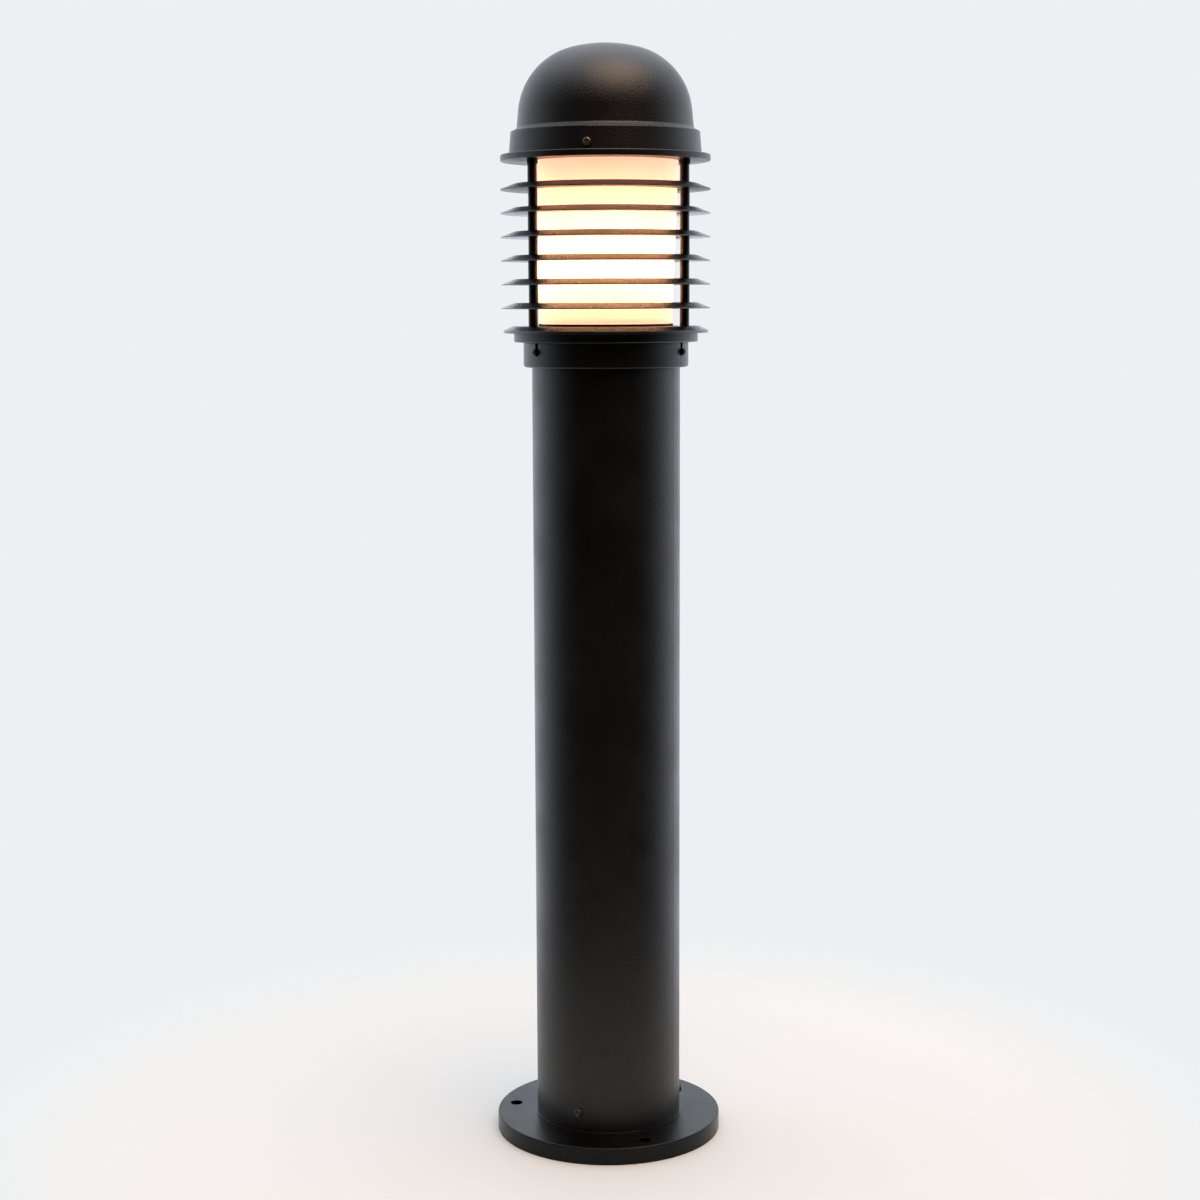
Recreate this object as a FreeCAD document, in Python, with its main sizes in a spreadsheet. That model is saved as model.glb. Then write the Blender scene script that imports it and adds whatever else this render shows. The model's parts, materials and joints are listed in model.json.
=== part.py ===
import FreeCAD, Part
import math
import operator
import os
import Sketcher

# Louvred bollard light: a post on a round base, with a lift-off lantern head under a dome cap.
# Everything is in millimetres. +Z is up and the origin is the centre of the base's underside.
# Azimuths are in degrees, counted from the front (-Y) towards +X.

DRIVING_DIMENSIONS = {
    # Base casting
    "base_radius": 100.0,
    "base_height": 15.0,
    "base_edge_round": 1.2,
    "tube_seat_height": 1.0,
    "base_spigot_height": 43.0,
    "base_spigot_wall": 11.0,
    "cable_entry_radius": 30.0,
    "anchor_circle_radius": 85.0,
    "anchor_hole_radius": 5.5,
    "anchor_azimuth": 17.0,
    # Earth stud that stands on the base floor
    "earth_circle_radius": 40.0,
    "earth_stud_radius": 3.0,
    "earth_stud_length": 21.0,
    "earth_nut_height": 5.0,
    "earth_nut_flats": 10.0,
    "earth_washer_radius": 6.25,
    "earth_washer_thickness": 1.6,
    # Post tube
    "tube_radius": 64.3,
    "tube_wall": 3.0,
    "tube_top": 692.0,
    "fit_gap": 0.2,
    "post_screw_height": 31.5,
    "post_screw_azimuth": -29.0,
    "post_screw_radius": 2.5,
    "post_screw_head_radius": 3.9,
    "post_screw_head_height": 2.0,
    # Collar bonded to the top of the tube
    "collar_radius": 71.5,
    "collar_bottom": 685.2,
    "collar_edge_round": 2.0,
    "collar_web_top": 694.0,
    "collar_bore": 67.4,
    "collar_sleeve_bottom": 660.0,
    "collar_sleeve_bore": 57.5,
    "slot_width": 4.2,
    "slot_floor": 695.2,
    # Screws that clamp the head in the collar
    "collar_screw_height": 698.6,
    "collar_screw_radius": 1.5,
    "collar_screw_tip": 62.0,
    "collar_screw_head_radius": 2.75,
    "collar_screw_head_height": 3.0,
    # Lantern base, which drops into the collar
    "head_seat": 706.7,
    "step_radius": 79.6,
    "step_edge_round": 1.2,
    "head_spigot_radius": 67.1,
    "head_spigot_bore": 60.0,
    "head_spigot_bottom": 694.4,
    "lantern_floor": 712.0,
    "lantern_well_radius": 48.0,
    # Louvre cage
    "plate_bottom": 714.5,
    "plate_radius": 88.6,
    "plate_thickness": 5.7,
    "plate_flat_radius": 80.7,
    "plate_tip_height": 2.3,
    "plate_lip_radius": 53.3,
    "plate_lip_height": 6.0,
    "rod_circle_radius": 74.4,
    "rod_radius": 2.5,
    "rod_hole_radius": 2.7,
    "rod_bottom": 708.6,
    "rod_top": 876.0,
    "spacer_length": 15.0,
    "spacer_radius": 4.0,
    "spacer_bore": 3.1,
    "spacer_shake": 0.3,
    "louvre_radius": 90.4,
    "louvre_bore": 66.0,
    "louvre_flat_radius": 79.0,
    "louvre_thickness": 5.2,
    "louvre_tip_height": 0.8,
    "seal_washer_radius": 4.6,
    "seal_washer_thickness": 4.0,
    # Top flange
    "flange_radius": 90.3,
    "flange_thickness": 5.4,
    "flange_edge_round": 1.0,
    "flange_opening": 54.0,
    "plate_opening": 50.0,
    "flange_recess_radius": 64.4,
    "flange_recess_depth": 3.2,
    "upstand_bore": 64.5,
    "upstand_radius": 69.0,
    "upstand_top": 882.0,
    "rod_washer_radius": 4.5,
    "rod_washer_thickness": 1.0,
    "rod_nut_flats": 8.0,
    "rod_nut_height": 4.0,
    # Diffuser and its gaskets
    "glass_foot_radius": 57.0,
    "glass_top_radius": 62.8,
    "glass_wall": 3.0,
    "glass_rim_round": 1.2,
    "glass_gasket_overlap": 1.2,
    "glass_gasket_thickness": 2.0,
    # Dome cap
    "cap_gap": 0.4,
    "skirt_foot_radius": 82.8,
    "skirt_top_radius": 81.2,
    "skirt_top": 885.6,
    "skirt_edge_round": 1.0,
    "skirt_wall": 3.0,
    "ledge_radius": 79.4,
    "ledge_top": 888.2,
    "ledge_round": 2.0,
    "dome_foot_radius": 76.0,
    "dome_lean": 5.4,
    "dome_apex": 959.5,
    "crown_radius": 120.0,
    "shoulder_radius": 59.5,
    "dome_thickness": 3.5,
    "shelf_thickness": 3.5,
    "cap_gasket_thickness": 2.0,
    "cap_screw_height": 871.8,
    "cap_screw_azimuth": -15.0,
    "cap_screw_radius": 2.0,
    "cap_screw_head_radius": 3.5,
    "cap_screw_head_height": 2.5,
    "cap_screw_gap": 0.3,
    # Lampholder and its bracket
    "bracket_thickness": 1.5,
    "bracket_width": 24.0,
    "bracket_reach": 34.0,
    "bracket_top_reach": 21.0,
    "bracket_rise": 8.0,
    "bracket_screw_reach": 28.0,
    "small_screw_radius": 2.0,
    "small_screw_head_radius": 3.6,
    "small_screw_head_height": 2.4,
    "small_screw_length": 6.0,
    "holder_radius": 20.0,
    "holder_rim_radius": 18.4,
    "holder_shoulder": 27.0,
    "holder_height": 42.5,
    "holder_floor": 15.5,
    "holder_bore": 14.4,
    "holder_shell_radius": 14.3,
    "holder_shell_bore": 13.55,
    "holder_contact_radius": 4.0,
    "holder_contact_height": 2.2,
    # Lamp with its screw cap
    "lamp_tip": 738.1,
    "lamp_contact_radius": 4.6,
    "lamp_contact_height": 1.4,
    "lamp_insulator_height": 3.0,
    "lamp_insulator_radius": 11.5,
    "lamp_screw_radius": 13.2,
    "lamp_screw_height": 23.0,
    "lamp_housing_radius": 20.0,
    "lamp_housing_height": 11.0,
    "lamp_bulb_radius": 30.0,
    "lamp_bulb_height": 60.0,
    # Terminal block and leads
    "block_length": 34.0,
    "block_width": 14.0,
    "block_height": 14.0,
    "block_distance": 34.0,
    "terminal_pitch": 10.5,
    "terminal_well_radius": 2.6,
    "terminal_well_depth": 5.0,
    "terminal_screw_radius": 2.2,
    "terminal_screw_height": 3.0,
    "lead_radius": 1.4,
    "lead_spread": 6.0,
    "lead_drop": 6.0,
    "lead_bend": 4.0,
    "lead_rise_distance": 15.0,
    # Cable gland through the lantern floor
    "gland_distance": 34.0,
    "gland_bore": 4.0,
    "gland_thread_radius": 6.0,
    "gland_thread_length": 10.3,
    "gland_flats": 18.0,
    "gland_hex_height": 4.0,
    "gland_neck_length": 9.0,
    "gland_cap_radius": 8.4,
    "gland_cap_length": 10.0,
    "gland_lock_height": 4.0,
}

LOUVRE_COUNT = 6
AROUND = 3
RING_TOLERANCE = 1e-4

doc = FreeCAD.newDocument("bollard_light")
sheet = doc.addObject("Spreadsheet::Sheet", "dims")
nodes = []


class Size:
    """A length or angle with its value and the expression that binds it to the sheet."""

    def __init__(self, value, text=None):
        self.value = float(value)
        self.text = text or "(%.6f)" % self.value

    def combined(self, other, symbol, work):
        other = other if isinstance(other, Size) else Size(other)
        return Size(work(self.value, other.value), "(%s %s %s)" % (self.text, symbol, other.text))

    def __add__(self, other):
        return self.combined(other, "+", operator.add)

    def __sub__(self, other):
        return self.combined(other, "-", operator.sub)

    def __mul__(self, other):
        return self.combined(other, "*", operator.mul)

    def __truediv__(self, other):
        return self.combined(other, "/", operator.truediv)

    def __neg__(self):
        return self * -1.0


class Sizes:
    """The driving dimensions, read as attributes, such as d.base_radius."""


ZERO = Size(0.0)
d = Sizes()


def fill_sheet():
    """Write each driving dimension to the sheet and make a Size that follows its cell."""
    for row, (alias, value) in enumerate(DRIVING_DIMENSIONS.items(), 1):
        sheet.set("A%d" % row, alias)
        sheet.set("B%d" % row, str(value))
        sheet.setAlias("B%d" % row, alias)
        setattr(d, alias, Size(value, "dims." + alias))
    doc.recompute()


def across(radius, azimuth):
    """X of a point at a radius and an azimuth."""
    value = radius.value * math.sin(math.radians(azimuth.value))
    return Size(value, "(%s * sin(%s * 1 deg))" % (radius.text, azimuth.text))


def ahead(radius, azimuth):
    """Y of a point at a radius and an azimuth."""
    value = -radius.value * math.cos(math.radians(azimuth.value))
    return Size(value, "(-1 * %s * cos(%s * 1 deg))" % (radius.text, azimuth.text))


# Bodies, sketches and features


def new_body(label, x=None, y=None, height=None, azimuth=None):
    """Start a sub-part; its place and its turn about Z are bound to the sheet."""
    body = doc.addObject("PartDesign::Body", label)
    body.Label = label
    body.AllowCompound = True
    turn = azimuth or ZERO
    body.Placement = FreeCAD.Placement(
        FreeCAD.Vector((x or ZERO).value, (y or ZERO).value, (height or ZERO).value),
        FreeCAD.Rotation(FreeCAD.Vector(0, 0, 1), turn.value),
    )
    for name, size in (("Base.x", x), ("Base.y", y), ("Base.z", height), ("Rotation.Angle", azimuth)):
        if size is not None:
            body.setExpression("Placement." + name, size.text)
    nodes.append(body)
    return body


def origin_feature(body, role):
    """The body's own origin plane or axis with this role."""
    return next(feature for feature in body.Origin.OriginFeatures if feature.Role == role)


def new_sketch(body, role, offset=None):
    """A sketch on one of the body's origin planes, or parallel to it at a bound offset."""
    sketch = body.newObject("Sketcher::SketchObject", body.Label + "_sketch")
    sketch.AttachmentSupport = [(origin_feature(body, role), "")]
    sketch.MapMode = "FlatFace"
    if offset is not None:
        sketch.AttachmentOffset = FreeCAD.Placement(
            FreeCAD.Vector(0, 0, offset.value), FreeCAD.Rotation()
        )
        sketch.setExpression("AttachmentOffset.Base.z", offset.text)
    return sketch


def bind(sketch, name, size):
    """Bind the newest constraint's value to the sheet."""
    index = sketch.ConstraintCount - 1
    sketch.renameConstraint(index, "%s_%d" % (name, index))
    sketch.setExpression("Constraints.%s_%d" % (name, index), size.text)


def hold_point(sketch, geometry, point, x, y):
    """Hold a point at bound distances from the sketch's origin."""
    for kind, size, axis in (("DistanceX", x, -2), ("DistanceY", y, -1)):
        if size is None:
            continue
        if abs(size.value) < RING_TOLERANCE:
            sketch.addConstraint(Sketcher.Constraint("PointOnObject", geometry, point, axis))
            continue
        sketch.addConstraint(Sketcher.Constraint(kind, -1, 1, geometry, point, size.value))
        bind(sketch, kind.lower(), size)


def draw_outline(sketch, corners):
    """A closed outline of straight lines through the corners."""
    places = [FreeCAD.Vector(x.value, y.value, 0) for x, y in corners]
    first = sketch.GeometryCount
    for start, end in zip(places, places[1:] + places[:1]):
        sketch.addGeometry(Part.LineSegment(start, end), False)
    for index, (x, y) in enumerate(corners):
        before = first + (index - 1) % len(corners)
        sketch.addConstraint(Sketcher.Constraint("Coincident", before, 2, first + index, 1))
        hold_point(sketch, first + index, 1, x, y)


def draw_circle(sketch, x, y, radius):
    """A circle with a bound centre and radius."""
    centre = FreeCAD.Vector(x.value, y.value, 0)
    circle = sketch.addGeometry(
        Part.Circle(centre, FreeCAD.Vector(0, 0, 1), radius.value), False
    )
    sketch.addConstraint(Sketcher.Constraint("Radius", circle, radius.value))
    bind(sketch, "radius", radius)
    hold_point(sketch, circle, 3, x, y)


def draw_polygon(sketch, x, y, flats, sides=6):
    """A regular polygon of a bound width across flats, one flat facing +X of the sketch."""
    corners = []
    for index in range(sides):
        angle = math.pi * (2 * index + 1) / sides
        reach = flats * (0.5 / math.cos(math.pi / sides))
        corners.append((x + reach * math.cos(angle), y + reach * math.sin(angle)))
    draw_outline(sketch, corners)


def add_feature(body, kind, profile=None):
    """Add a feature to the body and make it the body's tip."""
    feature = body.newObject("PartDesign::" + kind, body.Label + "_" + kind.lower())
    if profile is not None:
        feature.Profile = profile
    body.Tip = feature
    return feature


def revolve(body, sketch, axis="V_Axis", kind="Revolution"):
    """Turn a sketch once round one of its own axes, as material or as a groove."""
    feature = add_feature(body, kind, sketch)
    feature.ReferenceAxis = (sketch, [axis])
    feature.Angle = 360
    doc.recompute()
    return feature


def pad(body, sketch, length, symmetric=False):
    """Give a sketch a bound length."""
    feature = add_feature(body, "Pad", sketch)
    feature.Length = length.value
    feature.setExpression("Length", length.text)
    if symmetric:
        feature.SideType = "Symmetric"
    doc.recompute()
    return feature


def pocket(body, sketch, depth=None, reverse=False):
    """Cut a sketch to a bound depth, or right through on both sides; it has to remove volume."""
    before = body.Shape.Volume
    feature = add_feature(body, "Pocket", sketch)
    if depth is None:
        feature.Type = "ThroughAll"
        feature.SideType = "Symmetric"
    else:
        feature.Length = depth.value
        feature.setExpression("Length", depth.text)
        feature.Reversed = reverse
    doc.recompute()
    if not body.Shape.Volume < before:
        raise RuntimeError(body.Label + ": a pocket removed nothing")
    return feature


def repeat_around(body, features, count=AROUND):
    """Repeat features evenly about the body's Z axis."""
    feature = add_feature(body, "PolarPattern")
    feature.Originals = features
    feature.Axis = (origin_feature(body, "Z_Axis"), [""])
    feature.Angle = 360
    feature.Occurrences = count
    doc.recompute()
    return feature


def ring_edges(shape, places, axis):
    """Names of the circular edges about an axis at the given (radius, distance) places."""
    names = []
    for index, edge in enumerate(shape.Edges, 1):
        if edge.Degenerated or not isinstance(edge.Curve, Part.Circle):
            continue
        along = edge.Curve.Center.dot(axis)
        off_axis = (edge.Curve.Center - axis * along).Length
        for radius, distance in places:
            fits = abs(edge.Curve.Radius - radius.value) + abs(along - distance.value)
            if off_axis + fits < RING_TOLERANCE:
                names.append("Edge%d" % index)
    return names


def round_edges(body, radius, places, axis=FreeCAD.Vector(0, 0, 1)):
    """Round the ring edges at the given places."""
    base = body.Tip
    feature = add_feature(body, "Fillet")
    feature.Base = (base, ring_edges(base.Shape, places, axis))
    feature.Radius = radius.value
    feature.setExpression("Radius", radius.text)
    doc.recompute()
    return feature


def turned_body(label, corners, **place):
    """A sub-part turned about Z from an outline of (radius, height) corners."""
    body = new_body(label, **place)
    sketch = new_sketch(body, "XZ_Plane")
    draw_outline(sketch, corners)
    revolve(body, sketch)
    return body


def ring_body(label, bore, radius, bottom, top, **place):
    """A plain ring of rectangular section."""
    corners = [(bore, bottom), (radius, bottom), (radius, top), (bore, top)]
    return turned_body(label, corners, **place)


def drill_around(body, circle_radius, hole_radius):
    """Drill holes along Z right through the body, the first one straight behind the axis."""
    sketch = new_sketch(body, "XY_Plane")
    draw_circle(sketch, ZERO, circle_radius, hole_radius)
    repeat_around(body, [pocket(body, sketch)])


def hex_prism_around(body, circle_radius, flats, bottom, height, bore):
    """Hexagonal nuts standing on a circle, one flat facing outwards."""
    sketch = new_sketch(body, "XY_Plane", bottom)
    draw_polygon(sketch, circle_radius, ZERO, flats)
    draw_circle(sketch, circle_radius, ZERO, bore)
    return pad(body, sketch, height)


def radial_screws(label, tip, seat, shank_radius, head_radius, head_height, height, azimuth, socket):
    """Three screws that point at the axis; their heads are cylinders with a softened rim."""
    body = new_body(label, height=height, azimuth=azimuth)
    outer = seat + head_height
    sketch = new_sketch(body, "XZ_Plane")
    draw_outline(sketch, [
        (tip, ZERO), (tip, shank_radius), (seat, shank_radius),
        (seat, head_radius), (outer, head_radius), (outer, ZERO),
    ])
    screw = revolve(body, sketch, axis="H_Axis")
    rim = round_edges(body, head_height * 0.45, [(head_radius, outer)], FreeCAD.Vector(1, 0, 0))
    recess = new_sketch(body, "YZ_Plane", outer)
    if socket == "hex":
        draw_polygon(recess, ZERO, ZERO, head_radius * 0.86)
    else:
        draw_cross(recess, head_radius * 0.62, head_radius * 0.13)
    cut = pocket(body, recess, head_height * 0.55)
    repeat_around(body, [screw, rim, cut])
    return body


def draw_cross(sketch, reach, half_width):
    """The plus-shaped recess of a cross-head screw."""
    corners = []
    for across_sign, up_sign in ((1, 1), (-1, 1), (-1, -1), (1, -1)):
        inner = (half_width * across_sign, half_width * up_sign)
        wide = (reach * across_sign, half_width * up_sign)
        tall = (half_width * across_sign, reach * up_sign)
        corners += [wide, inner, tall] if across_sign * up_sign > 0 else [tall, inner, wide]
    draw_outline(sketch, corners)


# Post


def make_base_flange():
    """Round foot with a raised seat for the tube, three anchor holes and the cable entry."""
    seat = d.base_height + d.tube_seat_height
    bore = d.tube_radius - d.tube_wall - d.fit_gap - d.base_spigot_wall
    body = turned_body("base_flange", [
        (d.cable_entry_radius, ZERO), (d.base_radius, ZERO), (d.base_radius, d.base_height),
        (d.tube_radius, d.base_height), (d.tube_radius, seat), (bore, seat),
        (bore, d.base_height), (d.cable_entry_radius, d.base_height),
    ], azimuth=d.post_screw_azimuth)
    round_edges(body, d.base_edge_round, [(d.base_radius, d.base_height)])
    holes = new_sketch(body, "XY_Plane")
    turn = d.anchor_azimuth - d.post_screw_azimuth
    draw_circle(holes, across(d.anchor_circle_radius, turn), ahead(d.anchor_circle_radius, turn),
                d.anchor_hole_radius)
    repeat_around(body, [pocket(body, holes)])
    stud = new_sketch(body, "XY_Plane", d.base_height)
    draw_circle(stud, ZERO, d.earth_circle_radius, d.earth_stud_radius)
    pocket(body, stud, d.earth_nut_height)


def make_base_spigot():
    """Ring welded on the foot inside the tube, with three tapped holes for the post screws."""
    radius = d.tube_radius - d.tube_wall - d.fit_gap
    seat = d.base_height + d.tube_seat_height
    body = ring_body("base_spigot", radius - d.base_spigot_wall, radius, seat,
                     seat + d.base_spigot_height, azimuth=d.post_screw_azimuth)
    taps = new_sketch(body, "XZ_Plane")
    draw_circle(taps, ZERO, d.post_screw_height, d.post_screw_radius + d.fit_gap / 4)
    repeat_around(body, [pocket(body, taps, d.tube_radius, reverse=True)])


def make_post_tube():
    """Round tube standing on the base seat, with three screw holes near its foot."""
    body = ring_body("post_tube", d.tube_radius - d.tube_wall, d.tube_radius,
                     d.base_height + d.tube_seat_height, d.tube_top, azimuth=d.post_screw_azimuth)
    holes = new_sketch(body, "XZ_Plane")
    draw_circle(holes, ZERO, d.post_screw_height, d.post_screw_radius + d.fit_gap)
    repeat_around(body, [pocket(body, holes, d.base_radius, reverse=True)])


def make_post_screws():
    """Three screws that hold the tube on the base spigot."""
    radial_screws("post_screws", d.tube_radius - d.base_spigot_wall, d.tube_radius,
                  d.post_screw_radius, d.post_screw_head_radius, d.post_screw_head_height,
                  d.post_screw_height, d.post_screw_azimuth - 90, "hex")


def make_post_collar():
    """Socket on top of the tube, with three open-topped slots for the head's screws."""
    tube_bore = d.tube_radius - d.tube_wall - d.fit_gap
    tube_outside = d.tube_radius + d.fit_gap / 4
    body = turned_body("post_collar", [
        (d.collar_sleeve_bore, d.collar_sleeve_bottom), (tube_bore, d.collar_sleeve_bottom),
        (tube_bore, d.tube_top), (tube_outside, d.tube_top), (tube_outside, d.collar_bottom),
        (d.collar_radius, d.collar_bottom), (d.collar_radius, d.head_seat),
        (d.collar_bore, d.head_seat), (d.collar_bore, d.collar_web_top),
        (d.collar_sleeve_bore, d.collar_web_top),
    ], azimuth=Size(90))
    round_edges(body, d.collar_edge_round, [(d.collar_radius, d.collar_bottom)])
    round_edges(body, d.fit_gap * 3, [(d.collar_radius, d.head_seat)])
    slot = new_sketch(body, "YZ_Plane")
    half = d.slot_width / 2
    draw_outline(slot, [
        (-half, d.slot_floor), (half, d.slot_floor),
        (half, d.head_seat + d.slot_width), (-half, d.head_seat + d.slot_width),
    ])
    cut = pocket(body, slot, d.base_radius, reverse=True)
    repeat_around(body, [cut])


def make_earth_stud():
    """Earth stud behind the cable entry, with two nuts and a washer."""
    behind = d.post_screw_azimuth + 180
    place = {"x": across(d.earth_circle_radius, behind), "y": ahead(d.earth_circle_radius, behind)}
    root = d.base_height - d.earth_nut_height
    stud = new_body("earth_stud", height=root, **place)
    sketch = new_sketch(stud, "XY_Plane")
    draw_circle(sketch, ZERO, ZERO, d.earth_stud_radius - d.fit_gap / 4)
    pad(stud, sketch, d.earth_stud_length)
    ring_body("earth_washer", d.earth_stud_radius, d.earth_washer_radius, d.earth_nut_height,
              d.earth_nut_height + d.earth_washer_thickness, height=d.base_height, **place)
    nuts = new_body("earth_nuts", height=d.base_height, **place)
    for bottom in (ZERO, d.earth_nut_height + d.earth_washer_thickness):
        hex_prism_around(nuts, ZERO, d.earth_nut_flats, bottom, d.earth_nut_height,
                         d.earth_stud_radius)


# Louvre cage


def plate_top():
    """Height of the cage plate's upper face."""
    return d.plate_bottom + d.plate_thickness


def flange_bottom():
    """Height of the top flange's underside."""
    stack = d.spacer_length * (LOUVRE_COUNT + 1) + d.louvre_thickness * LOUVRE_COUNT
    return plate_top() + stack + d.seal_washer_thickness


def flange_top():
    """Height of the top flange's upper face."""
    return flange_bottom() + d.flange_thickness


def make_lantern_base():
    """Casting that drops into the collar and carries the cage and the lampholder."""
    body = turned_body("lantern_base", [
        (ZERO, d.head_seat), (d.head_spigot_bore, d.head_seat),
        (d.head_spigot_bore, d.head_spigot_bottom), (d.head_spigot_radius, d.head_spigot_bottom),
        (d.head_spigot_radius, d.head_seat), (d.step_radius, d.head_seat),
        (d.step_radius, d.plate_bottom), (d.lantern_well_radius, d.plate_bottom),
        (d.lantern_well_radius, d.lantern_floor), (ZERO, d.lantern_floor),
    ])
    round_edges(body, d.step_edge_round, [(d.step_radius, d.head_seat)])
    rod_holes = new_sketch(body, "XY_Plane", d.plate_bottom)
    draw_circle(rod_holes, ZERO, d.rod_circle_radius, d.rod_hole_radius)
    repeat_around(body, [pocket(body, rod_holes, d.plate_bottom - d.rod_bottom)])
    taps = new_sketch(body, "XZ_Plane")
    draw_circle(taps, ZERO, d.collar_screw_height, d.collar_screw_radius + d.fit_gap / 2)
    repeat_around(body, [pocket(body, taps, d.base_radius)])
    floor = new_sketch(body, "XY_Plane")
    draw_circle(floor, ZERO, d.gland_distance, d.gland_thread_radius + d.fit_gap)
    for reach in (d.bracket_screw_reach, -d.bracket_screw_reach):
        draw_circle(floor, reach, ZERO, d.small_screw_radius + d.fit_gap / 4)
    draw_circle(floor, -d.bracket_screw_reach, d.bracket_screw_reach,
                d.small_screw_radius + d.fit_gap / 4)
    pocket(body, floor)


def make_collar_screws():
    """Three socket-head screws that slide down the collar's slots with the head."""
    radial_screws("collar_screws", d.collar_screw_tip, d.collar_radius, d.collar_screw_radius,
                  d.collar_screw_head_radius, d.collar_screw_head_height, d.collar_screw_height,
                  Size(90), "hex")


def make_cage_plate():
    """Bottom plate of the cage, bevelled like the louvres, with a lip that centres the diffuser."""
    top = plate_top()
    lip_top = top + d.plate_lip_height
    body = turned_body("cage_bottom_plate", [
        (d.lantern_well_radius, d.plate_bottom), (d.plate_radius, d.plate_bottom),
        (d.plate_radius, d.plate_bottom + d.plate_tip_height), (d.plate_flat_radius, top),
        (d.plate_lip_radius, top), (d.plate_lip_radius, lip_top), (d.plate_opening, lip_top),
        (d.plate_opening, top), (d.lantern_well_radius, top),
    ])
    drill_around(body, d.rod_circle_radius, d.rod_hole_radius)


def make_louvres():
    """Knife-edged rings, flat below and bevelled above, stacked up from the plate."""
    for level in range(LOUVRE_COUNT):
        pitch = d.spacer_length + d.louvre_thickness
        body = turned_body("louvre_ring_%d" % (level + 1), [
            (d.louvre_bore, ZERO), (d.louvre_radius, ZERO), (d.louvre_radius, d.louvre_tip_height),
            (d.louvre_flat_radius, d.louvre_thickness), (d.louvre_bore, d.louvre_thickness),
        ], height=plate_top() + d.spacer_length + pitch * level)
        drill_around(body, d.rod_circle_radius, d.rod_hole_radius)


def tubes_around(label, radius, bore, length, height, azimuth=None):
    """Three short tubes standing on the tie-rod circle."""
    body = new_body(label, height=height, azimuth=azimuth)
    sketch = new_sketch(body, "XY_Plane")
    draw_circle(sketch, ZERO, d.rod_circle_radius, radius)
    if bore is not None:
        draw_circle(sketch, ZERO, d.rod_circle_radius, bore)
    repeat_around(body, [pad(body, sketch, length)])


def make_spacers():
    """Tubes between the louvres; they fit the rods loosely and sit a little to either side."""
    for level in range(LOUVRE_COUNT + 1):
        pitch = d.spacer_length + d.louvre_thickness
        side = 1 if level % 2 else -1
        tubes_around("spacers_level_%d" % (level + 1), d.spacer_radius, d.spacer_bore,
                     d.spacer_length, plate_top() + pitch * level, d.spacer_shake * side)


def make_tie_rods():
    """Rods through the cage, with their seal washers, washers and nuts."""
    tubes_around("tie_rods", d.rod_radius, None, d.rod_top - d.rod_bottom, d.rod_bottom)
    tubes_around("rod_seal_washers", d.seal_washer_radius, d.rod_hole_radius,
                 d.seal_washer_thickness, flange_bottom() - d.seal_washer_thickness)
    tubes_around("rod_washers", d.rod_washer_radius, d.rod_hole_radius, d.rod_washer_thickness,
                 flange_top())
    nuts = new_body("rod_nuts", azimuth=Size(90))
    nut = hex_prism_around(nuts, d.rod_circle_radius, d.rod_nut_flats,
                           flange_top() + d.rod_washer_thickness, d.rod_nut_height,
                           d.rod_radius + d.fit_gap / 4)
    repeat_around(nuts, [nut])


def make_top_flange():
    """Upper ring of the cage, recessed for the diffuser, with an upstand inside the cap."""
    bottom = flange_bottom()
    top = flange_top()
    ceiling = bottom + d.flange_recess_depth
    body = turned_body("top_flange", [
        (d.flange_opening, ceiling), (d.flange_recess_radius, ceiling),
        (d.flange_recess_radius, bottom), (d.flange_radius, bottom), (d.flange_radius, top),
        (d.upstand_radius, top), (d.upstand_radius, d.upstand_top),
        (d.upstand_bore, d.upstand_top), (d.upstand_bore, top), (d.flange_opening, top),
    ])
    round_edges(body, d.flange_edge_round, [(d.flange_radius, top), (d.flange_radius, bottom)])
    drill_around(body, d.rod_circle_radius, d.rod_hole_radius)


# Diffuser


def make_diffuser():
    """Opal glass, wider at the top, with rounded rims between two flat gaskets."""
    gasket_top = plate_top() + d.glass_gasket_thickness
    ceiling = flange_bottom() + d.flange_recess_depth
    glass_top = ceiling - d.glass_gasket_thickness
    rims = [
        (d.glass_foot_radius - d.glass_wall, gasket_top), (d.glass_foot_radius, gasket_top),
        (d.glass_top_radius, glass_top), (d.glass_top_radius - d.glass_wall, glass_top),
    ]
    body = turned_body("diffuser", rims)
    round_edges(body, d.glass_rim_round, rims)
    for label, radius, bottom, top in (
        ("lower_glass_gasket", d.glass_foot_radius, plate_top(), gasket_top),
        ("upper_glass_gasket", d.glass_top_radius, glass_top, ceiling),
    ):
        ring_body(label, radius - d.glass_wall - d.glass_gasket_overlap / 3,
                  radius + d.glass_gasket_overlap, bottom, top)


# Cap


def tangent_centre(foot, lean, shoulder_radius, crown_centre, crown_radius):
    """Centre of the shoulder arc that touches the leaning wall and the inside of the crown."""
    along = FreeCAD.Vector(-math.sin(lean), math.cos(lean), 0)
    inward = FreeCAD.Vector(-math.cos(lean), -math.sin(lean), 0)
    start = foot + inward * shoulder_radius - crown_centre
    reach = start.dot(along)
    short = start.Length ** 2 - (crown_radius - shoulder_radius) ** 2
    climb = math.sqrt(reach ** 2 - short) - reach
    return foot + inward * shoulder_radius + along * climb


def arc_between(centre, radius, start, end):
    """A counter-clockwise arc from one point to another."""
    circle = Part.Circle(centre, FreeCAD.Vector(0, 0, 1), radius)
    angles = [math.atan2(point.y - centre.y, point.x - centre.x) for point in (start, end)]
    return Part.ArcOfCircle(circle, *angles)


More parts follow.
